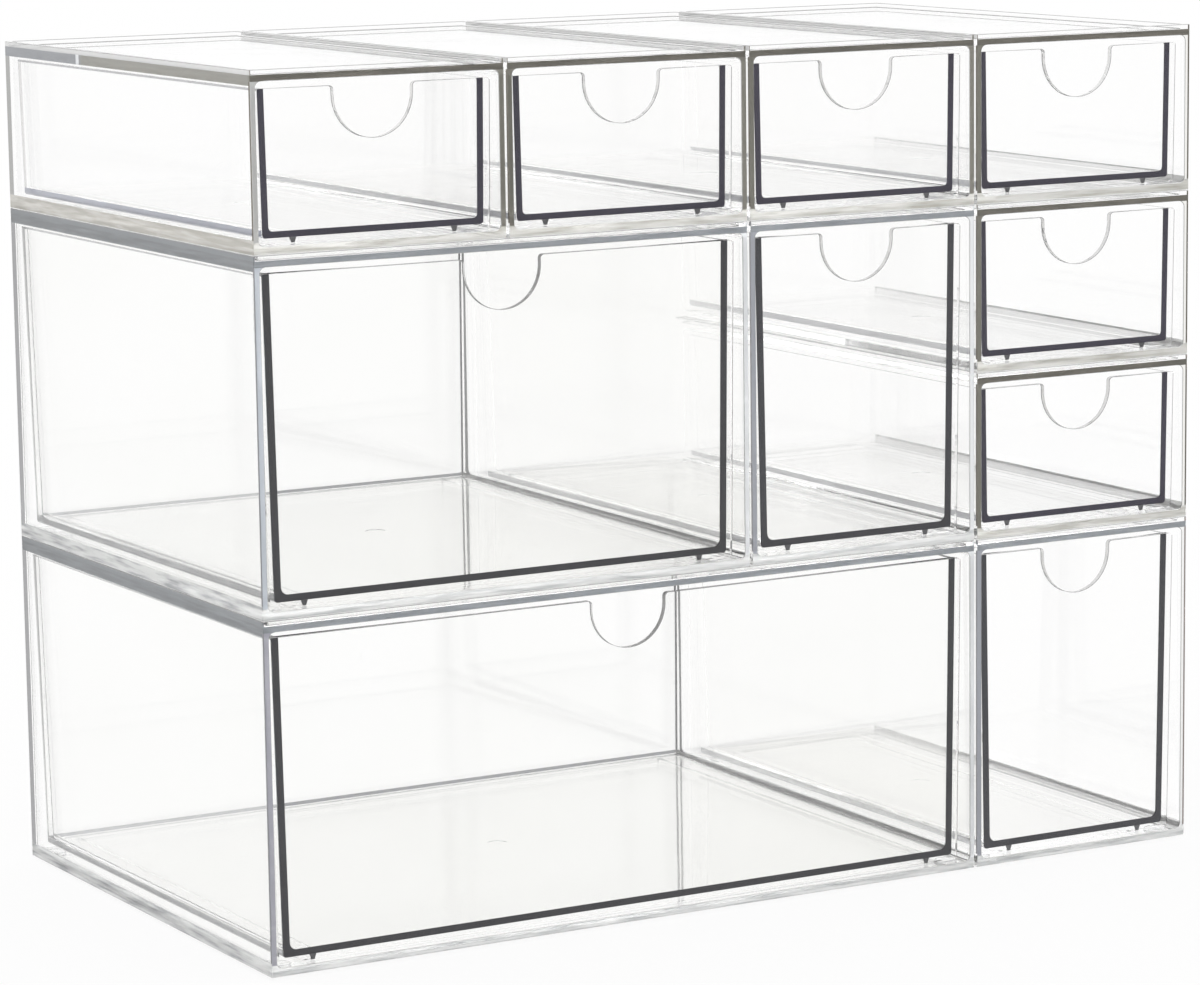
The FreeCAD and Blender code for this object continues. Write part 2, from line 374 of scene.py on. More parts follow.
def streaked_edge(name, first, second, see_through=0.35):
    """Painted shade on the edge of a floor or of a top panel, with fine streaks."""
    finish = Finish(name)
    streaks = finish.make("ShaderNodeMapRange", None, {
        0: fine_streaks(finish), 1: STREAKS_START, 2: STREAKS_FULL})
    surface = finish.make("ShaderNodeBsdfPrincipled", None, {
        "Base Color": finish.blend_colours(streaks, first, second),
        "Roughness": EDGE_ROUGHNESS + FLOOR_STREAK_ROUGHNESS * streaks,
        "IOR": FULL_BENDING, "Transmission Weight": see_through})
    return finish.show(surface)


PANEL_BREAK, BREAK_WIDTH = BACK - 0.062, 0.0012
BREAK_WAVER, WAVER_SCALE = 0.004, 160
BREAK_BEFORE, BREAK_BEHIND = 0.002, 0.001
PANEL_SEE_THROUGH = 0.25


def bluish_to_olive(name, at_back, at_front):
    """Painted shade on the edge of the top panel: cool at the back, warm at the front, with a
    painted highlight at the break.
    """
    finish = Finish(name)
    along = finish.make("ShaderNodeSeparateXYZ", None, {0: finish.place()}, output=1)
    towards_back = finish.make("ShaderNodeMapRange", None, {
        0: along + BREAK_WAVER * finish.noise(WAVER_SCALE), 1: PANEL_BREAK - BREAK_BEFORE,
        2: PANEL_BREAK + BREAK_BEHIND})
    break_highlight = finish.make("ShaderNodeMath", {"operation": "COMPARE"},
                         {0: along, 1: PANEL_BREAK, 2: BREAK_WIDTH})
    streaks = fine_streaks(finish)
    warm = finish.blend_colours(streaks, at_front, shade(138, 137, 129))
    cool = finish.blend_colours(streaks, at_back, shade(140, 143, 148))
    colour = finish.blend_colours(towards_back, warm, cool)
    colour = finish.blend_colours(break_highlight, colour, shade(222, 224, 228))
    surface = finish.make("ShaderNodeBsdfPrincipled", None, {
        "Base Color": colour, "IOR": FULL_BENDING, "Transmission Weight": PANEL_SEE_THROUGH,
        "Roughness": EDGE_ROUGHNESS + PANEL_STREAK_ROUGHNESS * streaks})
    return finish.show(surface)


clear_narrow_wall = clear_plastic("clear_narrow_case_wall", CLEAR, NEARLY_CLEAR,
                                  bending=NARROW_BENDING)
# Fine, bright and pale edges: painted shade, a painted highlight and a pale painted tint for the
# rounds and edge bands
fine_edge = clear_plastic("fine_edge", shade(172, 172, 171), shade(150, 150, 150),
                          see_through=0.3)
painted_highlight_edge = clear_plastic("painted_highlight_edge", shade(252, 252, 251), shade(240, 240, 240),
                            see_through=0.3)
pale_edge = clear_plastic("pale_edge", shade(250, 250, 249), shade(238, 238, 238),
                          see_through=0.4)
# Apart from the clear wall, the finishes of a low case are painted shade and painted light on
# faces where the light runs along the plastic: dark where they show end-on, pale where they show
# bright
low_case_slots = [
    clear_narrow_wall,
    streaked_edge("low_top_end", shade(80, 77, 69), shade(98, 94, 85), 0.15),
    clear_plastic("low_rim_edge", shade(216, 216, 215), shade(200, 200, 200), see_through=0.5),
    bluish_to_olive("low_panel_edge", shade(118, 121, 125), shade(118, 116, 108)),
    streaked_edge("low_floor_edge", shade(172, 169, 160), shade(208, 205, 198)),
    clear_plastic("low_back_edge", shade(166, 166, 165), shade(152, 152, 150),
                  see_through=0.2),
    clear_plastic("low_outer_end", shade(196, 196, 195), shade(178, 178, 175),
                  see_through=0.2),
    fine_edge,
    streaked_edge("low_floor_end", shade(230, 229, 224), shade(180, 178, 168)),
    clear_plastic("low_left_end", shade(112, 110, 100), shade(96, 94, 85),
                  see_through=0.15),
    painted_highlight_edge,
    pale_edge,
    clear_plastic("low_front_corner", shade(112, 105, 95), shade(94, 88, 80),
                  see_through=0.2),
    clear_plastic("low_right_outer_end", shade(250, 249, 246), shade(238, 237, 233),
                  see_through=0.2),
    clear_plastic("low_right_end", shade(122, 120, 111), shade(106, 104, 95),
                  see_through=0.15),
    clear_plastic("low_right_line", shade(92, 85, 76), shade(78, 72, 64), see_through=0.1),
]


def middle_of(unit):
    """Where the middle of a unit is, across the stack."""
    first_column, columns = UNITS[unit][:2]
    return (first_column + columns / 2 - COLUMNS / 2) * PITCH


def put_in_stack(model, unit, kind, name, body):
    """Copy a model made round X = 0 to its place in the stack."""
    choose_only(model)
    bpy.ops.object.duplicate(linked=False)
    piece = bpy.context.object
    piece.name = name
    piece.data.name = name
    height = PAD_STAND + UNITS[unit][2] * LEVEL
    bpy.ops.transform.translate(value=(middle_of(unit), 0, height))
    bpy.ops.object.transform_apply(location=True, rotation=False, scale=False)
    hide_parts(kind + "_" + unit)
    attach(piece, body)
    return piece


def soften(case):
    """Tiny round on every sharp edge, as a polished mould leaves it; the rounds take the painted
    shade of the fine edges.
    """
    choose_only(case)
    small = case.modifiers.new("small_round", "BEVEL")
    small.width, small.segments, small.limit_method = FINE_ROUND, FINE_STEPS, "ANGLE"
    small.material, small.use_clamp_overlap = FINE_EDGE, False
    small.angle_limit = SHARP_EDGE
    bpy.ops.object.modifier_apply(modifier=small.name)


def drop(model):
    choose_only(model)
    bpy.ops.object.delete()


def settle_sides(moulding, unit, plain, left_end, right_end):
    """The left side of the stack keeps the painted shade of its edges; the other sides take
    plainer slots.
    """
    first_column, columns = UNITS[unit][:2]
    middle = middle_of(unit)
    for face in moulding.data.polygons:
        side, slot = face.center.x - middle, face.material_index
        if side < 0 and first_column == 0:
            slot = left_end.get(slot, slot)
        elif side > 0 and first_column + columns == COLUMNS:
            slot = right_end.get(slot, plain.get(slot, slot))
        else:
            slot = plain.get(slot, slot)
        face.material_index = slot


# Painted-shade slots that the inner and right sides of a case swap for the clear wall or a
# lighter painted tint
PLAIN_CASE = {PANEL_EDGE: WALL, FLOOR_EDGE: WALL, BACK_EDGE: WALL, RIGHT_EDGE_LINE: RIGHT_END}
LEFTMOST_CASE = {LEFT_END: OUTER_END}
RIGHTMOST_CASE = {FLOOR_EDGE: PALE_EDGE, RIGHT_END: RIGHT_OUTER_END,
                  RIGHT_EDGE_LINE: RIGHT_EDGE_LINE}


def clear_seams(case, unit):
    """Where two units stand side by side, their touching edges show as clear plastic."""
    first_column, columns, first_level, levels = UNITS[unit]
    middle = middle_of(unit)
    on_top = first_level + levels == LEVELS
    for face in case.data.polygons:
        side = face.center.x - middle
        touching = (side > 0 or first_column > 0) and abs(side) > columns * PITCH / 2 - SEAM_DEPTH
        if not touching or face.center.y <= FRONT + SEAM_START:
            continue
        on_rim = on_top and face.center.z > LEVELS * LEVEL - RIM
        if face.material_index == FINE_EDGE and not on_rim:
            face.material_index = WALL
        elif face.material_index == RIM_EDGE and not (on_top and side < 0):
            face.material_index = WALL


def paint_foot_highlight(case):
    """Painted highlight: the lowest fine edges are painted bright, where they catch the light of
    the floor.
    """
    for face in case.data.polygons:
        if face.material_index == FINE_EDGE and face.center.z < FLOOR_TOP + FOOT_EDGES:
            face.material_index = HIGHLIGHT_EDGE


def units_of_size(columns, levels):
    return [unit for unit, size in UNITS.items() if (size[1], size[3]) == (columns, levels)]


def make_cases(columns, levels, slots):
    """One model for each size of case, copied to each unit of that size."""
    model = mould_case("case_model", columns, levels, slots)
    sort_case_faces(model, columns, levels)
    soften(model)
    paint_foot_highlight(model)
    gate_mark(model, (0, BACK, levels * LEVEL / 2), turned_back=True)
    for unit in units_of_size(columns, levels):
        shell = put_in_stack(model, unit, "case", "shell_" + unit, unit + "_case")
        settle_sides(shell, unit, PLAIN_CASE, LEFTMOST_CASE, RIGHTMOST_CASE)
        clear_seams(shell, unit)
    drop(model)


make_cases(1, 1, low_case_slots)


# ---- Tall and wide cases ---------------------------------------------------------
# Four larger units: two tall ones, one two columns wide and one three columns wide.
# Cases of the same clear polystyrene and the same walls; the painted shade of their edges is a
# little cooler.

OFF_CLEAR = (0.99, 0.99, 0.984, 1)
# Apart from the clear wall, these finishes too are painted shade and painted light on the edges
# and bands
large_case_slots = [
    clear_plastic("clear_wide_case_wall", CLEAR, OFF_CLEAR, bending=WIDE_BENDING),
    streaked_edge("large_top_end", shade(126, 131, 136), shade(140, 145, 150), 0.2),
    clear_plastic("large_rim_edge", shade(128, 132, 136), shade(116, 120, 124),
                  see_through=0.2),
    streaked_edge("large_panel_edge", shade(112, 116, 119), shade(126, 130, 134), 0.2),
    streaked_edge("large_floor_edge", shade(226, 227, 226), shade(152, 154, 157)),
    clear_plastic("large_back_edge", shade(178, 178, 180), shade(162, 162, 164),
                  see_through=0.2),
    clear_plastic("large_outer_end", shade(204, 210, 218), shade(190, 197, 206),
                  see_through=0.2),
    fine_edge,
    streaked_edge("large_floor_end", shade(240, 241, 240), shade(186, 189, 190)),
    clear_plastic("large_left_end", shade(158, 161, 168), shade(142, 145, 153),
                  see_through=0.15),
    painted_highlight_edge,
    pale_edge,
    clear_plastic("large_front_corner", shade(150, 150, 154), shade(132, 130, 134),
                  see_through=0.2),
    clear_plastic("large_right_outer_end", shade(252, 252, 251), shade(242, 242, 242),
                  see_through=0.2),
    clear_plastic("large_right_end", shade(238, 240, 242), shade(222, 225, 228),
                  see_through=0.2),
    clear_plastic("large_right_line", shade(134, 124, 120), shade(122, 110, 106),
                  see_through=0.1),
    clear_plastic("wide_inner_corner", shade(150, 152, 156), shade(136, 138, 142),
                  see_through=0.1),
]
triple_case_slots = list(large_case_slots)
triple_case_slots[OUTER_END] = clear_plastic("triple_outer_end", shade(172, 172, 181),
                                             shade(158, 158, 168), see_through=0.2)
make_cases(1, 2, [clear_narrow_wall] + large_case_slots[1:])
make_cases(2, 2, large_case_slots)
make_cases(3, 2, triple_case_slots)


# ---- Drawers -----------------------------------------------------------------------
# One drawer in each case, a single moulding of clear polystyrene: a tub with draft, a flat
# front with a finger notch, and two ribs under the floor on which it slides.

DRAWER_WALL = 0.0019
DRAFT = math.tan(math.radians(0.85))
PLATE_CLEARANCE, PLATE_OVERHANG, PLATE_RADIUS = 0.001, 0.0019, 0.001
HEAD_CLEARANCE, REAR_CLEARANCE, FRONT_RECESS = 0.0025, 0.0006, 0.0038
FLARE = 0.001
TUB_CORNER, TUB_FLOOR_ROUND = 0.0011, 0.001
LOW_INNER_ROUND, TALL_INNER_ROUND, INNER_CORNER_EXTRA = 0.0014, 0.0024, 0.0002
LOW_BAND, LIP_BAND, REAR_BAND = 0.0024, 0.0007, 0.0036
RIB_FOOT, UNDERSIDE, RIB_BACK = 0.0027, 0.0045, 0.087
RIB_TOP_WIDTH, RIB_FOOT_WIDTH, RIB_INSET = 0.0018, 0.0011, 0.0102
PLATE_LIFT, WELD = 0.0003, 0.00095
NOTCH_WIDTH, NOTCH_DEPTH, NOTCH_LIP = 0.027, 0.0165, 0.0014
NOTCH_HEAD, NOTCH_REACH = 0.004, 0.002
LIP_ROUND, SIDE_LINE_ROUND = 0.00016, 0.00035
TUB_STEPS, PLATE_STEPS, NOTCH_STEPS, NOTCH_LIP_STEPS = 7, 5, 26, 6
NEAR, EXACT, SHARP_TURN = 0.001, 0.00001, 0.8
FACE = FRONT + FRONT_RECESS
TUB_BACK = BACK - CASE_WALL - REAR_CLEARANCE

# Material slots of a drawer, in the order of its list of finishes: the clear wall and floor, and
# tints of painted shade and painted light for the rest
(TUB_WALL, U_SHADE, RIB_END, FOOT, REAR_CORNER, TOP_EDGE, NOTCH_LINE, LIP, SIDE_LINE,
 TUB_FLOOR, NOTCH_EDGE, INNER_FOOT, REAR_EDGE, RIGHT_FOOT) = range(14)


def tapered_block(name, half, front, back, bottom, top, corner, floor_round):
    """Block with draft at its sides and back, and round corners and lower edges."""
    lean = (top - bottom) * DRAFT
    block = new_block(name, (-half, front, bottom), (half, back, top))
    resize_face(block, faces_down, ((half - lean) / half, 1, 1), (0, 0, bottom))
    pick(block, "edges", lambda at, edge: run(edge).x > ALONG and at.y > 0
         and at.z < top - NEAR)
    bpy.ops.transform.translate(value=(0, -lean, 0))
    flare = FLARE * (back - front) / (TUB_BACK - FACE)
    resize_face(block, lambda at, face: face.normal.y > ALONG,
                ((half + flare) / half, 1, 1), (0, 0, 0))
    round_edges(block, lambda at, edge: upright(edge) and at.y > 0, corner, TUB_STEPS)
    round_edges(block, lambda at, edge: at.z < bottom + lean / 2 and at.y > front + NEAR / 2,
                floor_round, TUB_STEPS)
    return block


def tub_size(columns, levels):
    """Half the width of the tub at its top, and the height of that top."""
    half, top, opening_top = case_size(columns, levels)
    half = half - CASE_WALL - PLATE_CLEARANCE - PLATE_OVERHANG
    return half, opening_top - HEAD_CLEARANCE


def outer_tub(columns, levels, front):
    half, top = tub_size(columns, levels)
    return tapered_block("tub", half, front, TUB_BACK, UNDERSIDE, top, TUB_CORNER,
                         TUB_FLOOR_ROUND)


def inner_tub(columns, levels, front, thicker_floor=0.0, thicker_sides=0.0):
    """The space in the drawer, run on above its top."""
    half, top = tub_size(columns, levels)
    inside = half - DRAWER_WALL - thicker_sides + NOTCH_HEAD * DRAFT
    low_radius = LOW_INNER_ROUND if levels == 1 else TALL_INNER_ROUND
    return tapered_block("inside", inside, front,
                         TUB_BACK - DRAWER_WALL + NOTCH_HEAD * DRAFT,
                         UNDERSIDE + DRAWER_WALL + thicker_floor, top + NOTCH_HEAD,
                         low_radius + INNER_CORNER_EXTRA, low_radius)


def rib(columns, levels, side, front, back, foot, above):
    """Rib with a narrower foot, under one side of the drawer."""
    half, top = tub_size(columns, levels)
    middle = side * (half - (top - UNDERSIDE) * DRAFT - RIB_INSET)
    block = new_block("rib", (middle - RIB_TOP_WIDTH / 2, front, foot),
                      (middle + RIB_TOP_WIDTH / 2, back, above))
    resize_face(block, faces_down, (RIB_FOOT_WIDTH / RIB_TOP_WIDTH, 1, 1), (middle, 0, foot))
    return block


def front_plate(columns, levels):
    half, top = tub_size(columns, levels)
    bottom = RIB_FOOT + PLATE_LIFT
    half += PLATE_OVERHANG
    plate = new_block("plate", (-half, FACE, bottom), (half, FACE + DRAWER_WALL, top))
    narrower = (half - (top - bottom) * DRAFT) / half
    resize_face(plate, faces_down, (narrower, 1, 1), (0, 0, bottom))
    round_edges(plate, lambda at, edge: run(edge).y > ALONG, PLATE_RADIUS, PLATE_STEPS)
    return plate


def notch_cutter(top):
    """U-shaped cutter with a wide head, so that the notch gets round lips."""
    half = NOTCH_WIDTH / 2
    cutter = new_block("notch", (-half, FACE - NOTCH_REACH, top - NOTCH_DEPTH),
                       (half, FACE + 2 * NOTCH_REACH, top))
    round_edges(cutter, lambda at, edge: run(edge).y > ALONG and at.z < top - NEAR,
                half - 2 * EXACT, NOTCH_STEPS)
    pick(cutter, "faces", lambda at, face: faces_up(at, face) and at.z > top - SNAP)
    bpy.ops.mesh.extrude_region_move(TRANSFORM_OT_translate={"value": (0, 0, NOTCH_HEAD)})
    for side in (-1, 1):
        pick(cutter, "faces", lambda at, face: face.normal.x * side > ALONG and at.z > top)
        bpy.ops.mesh.extrude_region_move(
            TRANSFORM_OT_translate={"value": (side * NOTCH_HEAD, 0, 0)})
    round_edges(cutter, lambda at, edge: run(edge).y > ALONG and abs(at.z - top) < SNAP
                and abs(abs(at.x) - half) < SNAP, NOTCH_LIP, NOTCH_LIP_STEPS)
    return cutter


def mould_drawer(columns, levels):
    top = tub_size(columns, levels)[1]
    drawer = outer_tub(columns, levels, FACE + WELD)
    combine(drawer, front_plate(columns, levels), "UNION")
    for side in (-1, 1):
        combine(drawer, rib(columns, levels, side, FACE + WELD, RIB_BACK, RIB_FOOT,
                            UNDERSIDE + WELD), "UNION")
    combine(drawer, inner_tub(columns, levels, FACE + DRAWER_WALL), "DIFFERENCE")
    combine(drawer, notch_cutter(top), "DIFFERENCE")
    gate_mark(drawer, (0, (FACE + TUB_BACK) / 2, UNDERSIDE + DRAWER_WALL))
    for height in (UNDERSIDE + LOW_BAND, top - LIP_BAND):
        split_all(drawer, (0, 0, height), (0, 0, 1))
    split_all(drawer, (0, TUB_BACK - REAR_BAND, 0), (0, 1, 0))
    return drawer


def sharp(edge):
    return len(edge.link_faces) == 2 and edge.calc_face_angle() > SHARP_TURN


def outline_front(drawer, columns, levels):
    """Fine rounds along the notch and the top edge of the front, and down its right side, painted
    as lines of shade.
    """
    half, top = tub_size(columns, levels)
    for depth in (FACE, FACE + DRAWER_WALL):
        round_edges(drawer, lambda at, edge: sharp(edge) and at.z > top - NOTCH_DEPTH - NEAR
                    and abs(at.x) < half + NEAR / 2
                    and all(abs(corner.co.y - depth) < EXACT for corner in edge.verts),
                    LIP_ROUND, FINE_STEPS, slot=NOTCH_LINE)
    round_edges(drawer, lambda at, edge: sharp(edge) and at.x > half - 2 * NEAR
                and upright(edge) and abs(at.y - FACE) < EXACT, SIDE_LINE_ROUND,
                FINE_STEPS, slot=SIDE_LINE)


FAR_BACK, BEHIND_PLATE, WALL_SKIN = 0.08, 0.003, 0.0012
TURNED_BACK = 0.15


def sort_drawer_faces(drawer, columns, levels):
    """Give the top edge, floor, notch, foot and rear edges of a drawer their own slots; all but
    the floor carry painted shade and painted light.
    """
    half, top = tub_size(columns, levels)
    for face in drawer.data.polygons:
        at, turned = face.center, face.normal
        outside = half - (top - at.z) * DRAFT - WALL_SKIN
        outwards = at.x * turned.x > 0
        if turned.z > ALONG and at.z > top - SNAP:
            face.material_index = TOP_EDGE
        elif turned.z > ALONG and at.z < UNDERSIDE + DRAWER_WALL + SNAP:
            face.material_index = TUB_FLOOR
        elif abs(at.x) < NOTCH_WIDTH / 2 + 2 * NEAR and at.z > top - NOTCH_DEPTH - SNAP \
                and at.y < FACE + DRAWER_WALL and abs(turned.y) < TOWARDS:
            face.material_index = NOTCH_EDGE
        elif columns > 1 and turned.y > ALONG and at.y > FAR_BACK \
                and at.z < UNDERSIDE + LOW_BAND:
            face.material_index = INNER_FOOT
        elif abs(at.x) > outside and at.y > FACE + BEHIND_PLATE and abs(turned.x) > ASLANT:
            if at.z < UNDERSIDE + LOW_BAND and outwards:
                face.material_index = FOOT
            elif at.z > top - LIP_BAND and outwards:
                face.material_index = LIP
            elif at.y > FAR_BACK and turned.y > TURNED_BACK:
                face.material_index = REAR_CORNER
            elif at.y > TUB_BACK - REAR_BAND and outwards:
                face.material_index = REAR_EDGE


SHADE_NEAR, SHADE_FAR = FACE + 0.0012, FACE + 0.0015
SHADE_BELOW_TOP, SHADE_FRONT = 0.00015, 0.003
LOW_SHADE_GROWTH, TALL_SHADE_GROWTH = (0.0001, 0.0002), (0.0003, 0.0005)
TICK_WIDENING, TICK_GAP = 1.3, 0.00005


def painted_shade_u(columns, levels):
    """Sheet of painted shade inside the front, where the walls run into it: seen end-on, as a
    dark U inside the plastic.
    """
    end = outer_tub(columns, levels, SHADE_NEAR)
    half, top = tub_size(columns, levels)
    beyond, above = half + PAST, top + PAST
    behind = new_block("behind", (-beyond, SHADE_FAR, 0), (beyond, BACK, above))
    combine(end, behind, "DIFFERENCE")
    lid = new_block("lid", (-beyond, FRONT, top - SHADE_BELOW_TOP), (beyond, BACK, above))
    combine(end, lid, "DIFFERENCE")
    growth = LOW_SHADE_GROWTH if levels == 1 else TALL_SHADE_GROWTH
    combine(end, inner_tub(columns, levels, FACE - SHADE_FRONT, *growth), "DIFFERENCE")
    return end


def end_middle(piece):
    across = [corner.co.x for corner in piece.data.vertices]
    return ((min(across) + max(across)) / 2, 0, 0)


def rib_end(columns, levels, side):
    """End of a rib, seen through the front as a short dark tick: a thin sheet of painted shade
    inside the front.
    """
    end = rib(columns, levels, side, SHADE_NEAR, SHADE_FAR, RIB_FOOT + SNAP,
              UNDERSIDE - TICK_GAP)
    resize_face(end, faces_up, (TICK_WIDENING, 1, 1), end_middle(end))
    return end


def join_to(piece, others):
    choose_only(piece)
    for other in others:
        other.select_set(True)
    bpy.ops.object.join()


def use_slot(piece, index):
    for face in piece.data.polygons:
        face.material_index = index


CLOUD_SCALE, CLOUD_DETAIL, CLOUD_STRETCH = 40, 3.0, (1, 1, 0.3)
END_ROUGHNESS, END_UNEVENNESS, END_GRAIN, END_SHINE = 0.5, 0.2, 300, 0.2


def painted_end_shade(name, first, second):
    """Painted shade for a wall seen end-on, so deep that hardly any light comes through: a dark,
    matt face.
    """
    finish = Finish(name)
    clouds = finish.noise(CLOUD_SCALE, CLOUD_DETAIL, CLOUD_STRETCH)
    surface = finish.make("ShaderNodeBsdfPrincipled", None, {
        "Base Color": finish.blend_colours(clouds, first, second),
        "Roughness": END_ROUGHNESS + END_UNEVENNESS * finish.noise(END_GRAIN),
        "Specular IOR Level": END_SHINE})
    return finish.show(surface)


# Apart from the clear walls and floors, the finishes of a drawer are painted shade and painted
# light: the dark U and ticks, and tints on its edges, feet and lines
low_drawer_slots = [
    clear_plastic("clear_narrow_drawer_wall", CLEAR, NEARLY_CLEAR, bending=NARROW_BENDING),
    painted_end_shade("wall_end_on", shade(62, 60, 68), shade(82, 78, 94)),
    painted_end_shade("rib_end_on", shade(104, 104, 106), shade(124, 124, 126)),
    clear_plastic("low_drawer_foot", shade(184, 188, 206), shade(172, 176, 194),
                  see_through=0.25),
    clear_plastic("drawer_back_edge", shade(126, 126, 131), shade(114, 114, 119),
                  see_through=0.3),
    clear_plastic("drawer_top_edge", shade(206, 206, 208), shade(192, 192, 196),
                  see_through=0.6),
    clear_plastic("drawer_fine_edge", shade(158, 158, 158), shade(134, 134, 136),
                  see_through=0.35),
    clear_plastic("drawer_lip", shade(172, 172, 176), shade(160, 160, 164),
                  see_through=0.5),
    clear_plastic("front_side_line", shade(68, 64, 66), shade(56, 54, 58), see_through=0.1),
    clear_plastic("low_drawer_floor", shade(252, 252, 251), shade(249, 249, 248),
                  bending=NARROW_BENDING),
    clear_plastic("pale_drawer_edge", shade(250, 250, 249), shade(238, 238, 238),
                  see_through=0.5),
    clear_plastic("inner_drawer_foot", shade(204, 206, 212), shade(192, 194, 200),
                  see_through=0.4),
    clear_plastic("drawer_rear_edge", shade(246, 246, 245), shade(230, 230, 230),
                  see_through=0.5),
    clear_plastic("wide_drawer_right_foot", shade(180, 180, 178), shade(168, 168, 166),
                  see_through=0.3),
]
large_drawer_slots = list(low_drawer_slots)
large_drawer_slots[TUB_FLOOR] = clear_plastic(
    "tall_drawer_floor", shade(247, 247, 244), shade(240, 240, 238), bending=NARROW_BENDING)
large_drawer_slots[U_SHADE] = painted_end_shade("large_wall_end_on", shade(68, 68, 72),
                                        shade(84, 84, 88))
large_drawer_slots[FOOT] = clear_plastic("large_drawer_foot", shade(200, 201, 204),
                                         shade(184, 185, 188), see_through=0.6)
wide_drawer_slots = list(large_drawer_slots)
wide_drawer_slots[TUB_WALL] = clear_plastic("clear_wide_drawer_wall", CLEAR, OFF_CLEAR,
                                            bending=WIDE_BENDING)
wide_drawer_slots[TUB_FLOOR] = clear_plastic(
    "wide_drawer_floor", shade(245, 245, 242), shade(238, 238, 235), bending=WIDE_BENDING)


def plain_drawer_slots(columns, levels):
    """Inner sides: clear lips and rear edges, and lighter painted foot lines on the low drawers.
    """
    plain = {LIP: TUB_WALL, REAR_EDGE: TUB_WALL}
    if columns == 1:
        plain[REAR_CORNER] = TUB_WALL
    if levels == 1:
        plain[FOOT] = INNER_FOOT
    return plain


def settle_right_foot(drawer, slot):
    """The left foot of a drawer keeps its painted line, where it catches the light; the right one
    takes the clear wall, and on wide drawers a paler painted line.
    """
    middle = end_middle(drawer)[0]
    for face in drawer.data.polygons:
        if face.material_index in (FOOT, INNER_FOOT) and face.center.x > middle \
                and face.normal.x > ASLANT:
            face.material_index = slot


for columns, levels in ((1, 1), (1, 2), (2, 2), (3, 2)):
    model = mould_drawer(columns, levels)
    sort_drawer_faces(model, columns, levels)
    # The dark U and the rib ticks are thin sheets of painted shade inside the front
    shade_piece = painted_shade_u(columns, levels)
    ribs = [rib_end(columns, levels, side) for side in (-1, 1)]
    slots = low_drawer_slots if levels == 1 else large_drawer_slots
    for material in slots if columns == 1 else wide_drawer_slots:
        for part in [model, shade_piece, *ribs]:
            part.data.materials.append(material)
    outline_front(model, columns, levels)
    use_slot(shade_piece, U_SHADE)
    for part in ribs:
        use_slot(part, RIB_END)
    join_to(model, [shade_piece, *ribs])
    for unit in units_of_size(columns, levels):
        tray = put_in_stack(model, unit, "drawer", "drawer_moulding_" + unit,
                            unit + "_drawer")
        settle_sides(tray, unit, plain_drawer_slots(columns, levels), {}, {})
        settle_right_foot(tray, TUB_WALL if columns == 1 else RIGHT_FOOT)
    drop(model)


# ---- Foot pads ------------------------------------------------------------------------
# Four soft round pads of clear silicone under each case, near the corners.  They drop into
# the rim of the unit below and keep the stack from sliding.

PAD_RADIUS, PAD_ROUND, PAD_INSET, PAD_END = 0.004, 0.001, 0.0064, 0.0084
PAD_CREVICE, PAD_STEPS, PAD_SMOOTH = 0.00003, 6, math.radians(30)

soft_pad = clear_plastic("clear_silicone", shade(250, 250, 250), shade(240, 241, 242),
                         roughness=0.1)


def mould_pads(columns):
    """Four pads under a case round X = 0, each with a round lower edge."""
    half = case_size(columns, 1)[0]
    depth = PAD_STAND + FLOOR_RISE - PAD_CREVICE
    pads = []
    for x in (-half + PAD_INSET, half - PAD_INSET):
        for y in (FRONT + PAD_END, BACK - PAD_END):
            leave_edit_mode()
            bpy.ops.object.select_all(action="DESELECT")
            bpy.ops.mesh.primitive_cylinder_add(vertices=48, radius=PAD_RADIUS, depth=depth,
                                                location=(x, y, depth / 2 - PAD_STAND))
            bpy.ops.object.transform_apply(location=True, rotation=False, scale=False)
            pad = bpy.context.object
            round_edges(pad, lambda at, edge: at.z < 0 and run(edge).z < 1 - ALONG, PAD_ROUND,
                        PAD_STEPS)
            pads.append(pad)
    join_to(pads[0], pads[1:])
    pads[0].data.materials.append(soft_pad)
    choose_only(pads[0])
    bpy.ops.object.shade_smooth_by_angle(angle=PAD_SMOOTH)
    return pads[0]


for columns in (1, 2, 3):
    model = mould_pads(columns)
    for unit, size in UNITS.items():
        if size[1] == columns:
            put_in_stack(model, unit, "pads", "soft_pads_" + unit, unit + "_case")
    drop(model)


# ---- Floor, light and camera -------------------------------------------------------------
# The stack stands on a white studio floor under an even white tent, which is its only
# light.  The camera stands to the left of the front, a little above the top.

PAPER_SIZE, PAPER_LEVEL, PAPER_GLOW = 14, -0.0002, 0.93
LIGHT_BOUNCES, DIFFUSE_BOUNCES = 64, 2

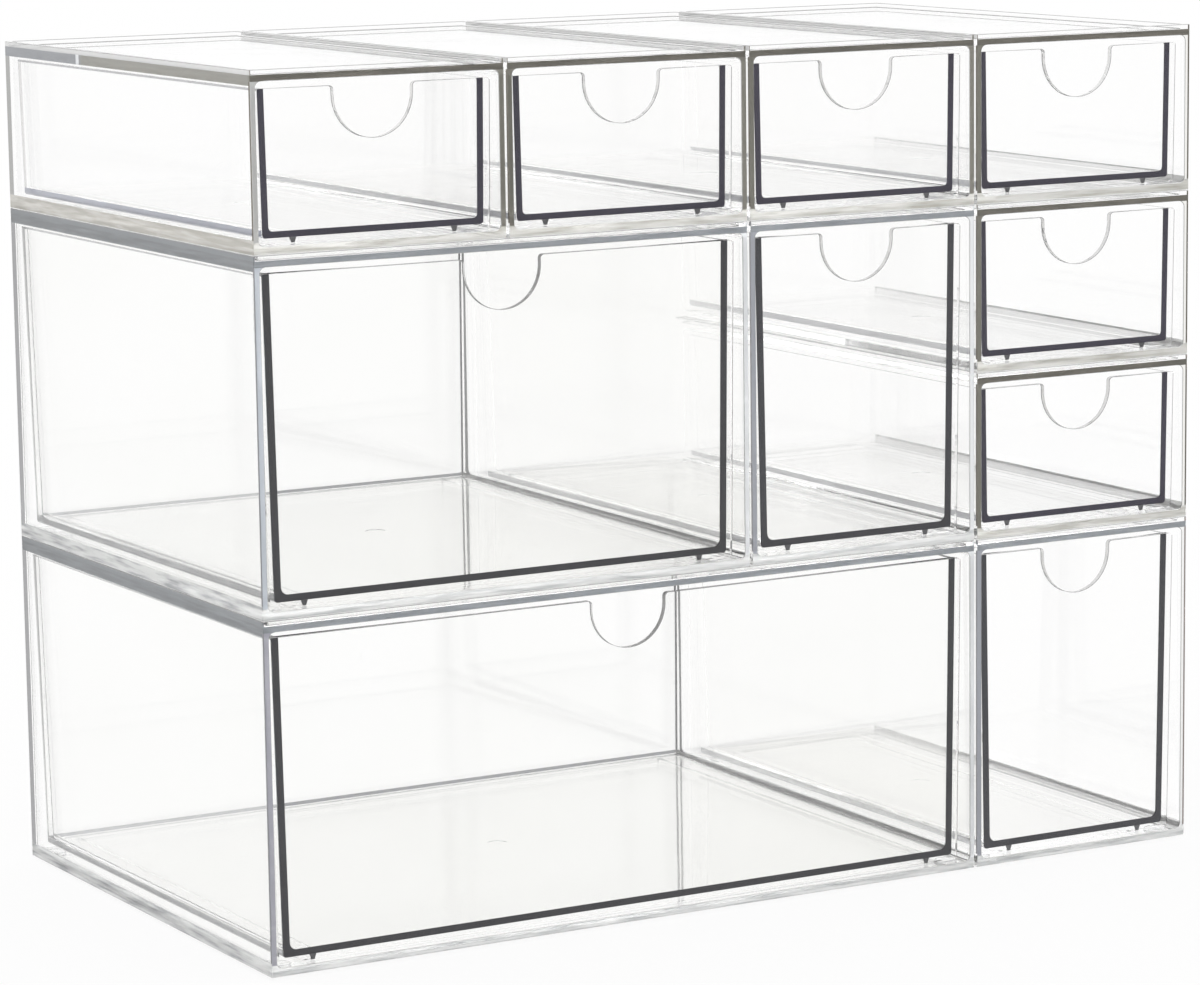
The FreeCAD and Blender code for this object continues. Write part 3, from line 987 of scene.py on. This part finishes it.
leave_edit_mode()
bpy.ops.object.select_all(action="DESELECT")
bpy.ops.mesh.primitive_plane_add(size=PAPER_SIZE, location=(0, 0, PAPER_LEVEL))
floor = bpy.context.object
floor.name = "studio_floor"
paper = Finish("white_paper")
matt = paper.make("ShaderNodeBsdfPrincipled", None, {
    "Base Color": paper.blend_colours(paper.noise(3.0), shade(252, 252, 252),
                                      shade(254, 254, 254)),
    "Roughness": 0.9, "Specular IOR Level": 0.0})
glow = paper.make("ShaderNodeEmission", None, {"Color": (1, 1, 1, 1), "Strength": 1.0})
# Rays that see the paper straight, mirrored or through clear plastic see it nearly white
camera_ray, glossy_ray, through_ray = [paper.make("ShaderNodeLightPath", output=ray)
                                       for ray in (0, 3, 6)]
seen = camera_ray + glossy_ray + through_ray
mixed = paper.make("ShaderNodeMixShader", None, {0: seen * PAPER_GLOW, 1: matt, 2: glow})
floor.data.materials.append(paper.show(mixed))

world = bpy.data.worlds.new("white_tent")
bpy.context.scene.world = world
world.use_nodes = True
world.node_tree.nodes["Background"].inputs["Color"].default_value = (1, 1, 1, 1)
world.node_tree.nodes["Background"].inputs["Strength"].default_value = 1.0

scene = bpy.context.scene
scene.view_settings.view_transform = "Standard"
scene.cycles.max_bounces = LIGHT_BOUNCES
scene.cycles.transmission_bounces = LIGHT_BOUNCES
scene.cycles.transparent_max_bounces = LIGHT_BOUNCES
scene.cycles.glossy_bounces = LIGHT_BOUNCES
scene.cycles.diffuse_bounces = DIFFUSE_BOUNCES

# The camera: how it is turned, how far away it stands, and what it looks at
TURN, RISE, ROLL = math.radians(-29.62), math.radians(9.114), math.radians(-0.774)
DISTANCE, SENSOR = 1.54299, 36
FOCAL = 4509.087 / 1200 * SENSOR
LOOK_AT, SIDEWAYS, UPWARDS = Vector((0, 0, 0.142)), -0.001255, -0.017
away = Vector((math.sin(TURN) * math.cos(RISE), -math.cos(TURN) * math.cos(RISE),
               math.sin(RISE)))
right = (-away).cross(Vector((0, 0, 1))).normalized()
up = right.cross(-away)
right, up = (math.cos(ROLL) * right + math.sin(ROLL) * up,
             -math.sin(ROLL) * right + math.cos(ROLL) * up)
camera = bpy.data.objects.new("camera", bpy.data.cameras.new("camera"))
scene.collection.objects.link(camera)
camera.data.sensor_width = SENSOR
camera.data.lens = FOCAL
stand = Matrix((right, up, away)).transposed().to_4x4()
stand.translation = LOOK_AT + away * DISTANCE + right * SIDEWAYS + up * UPWARDS
camera.matrix_world = stand
scene.camera = camera
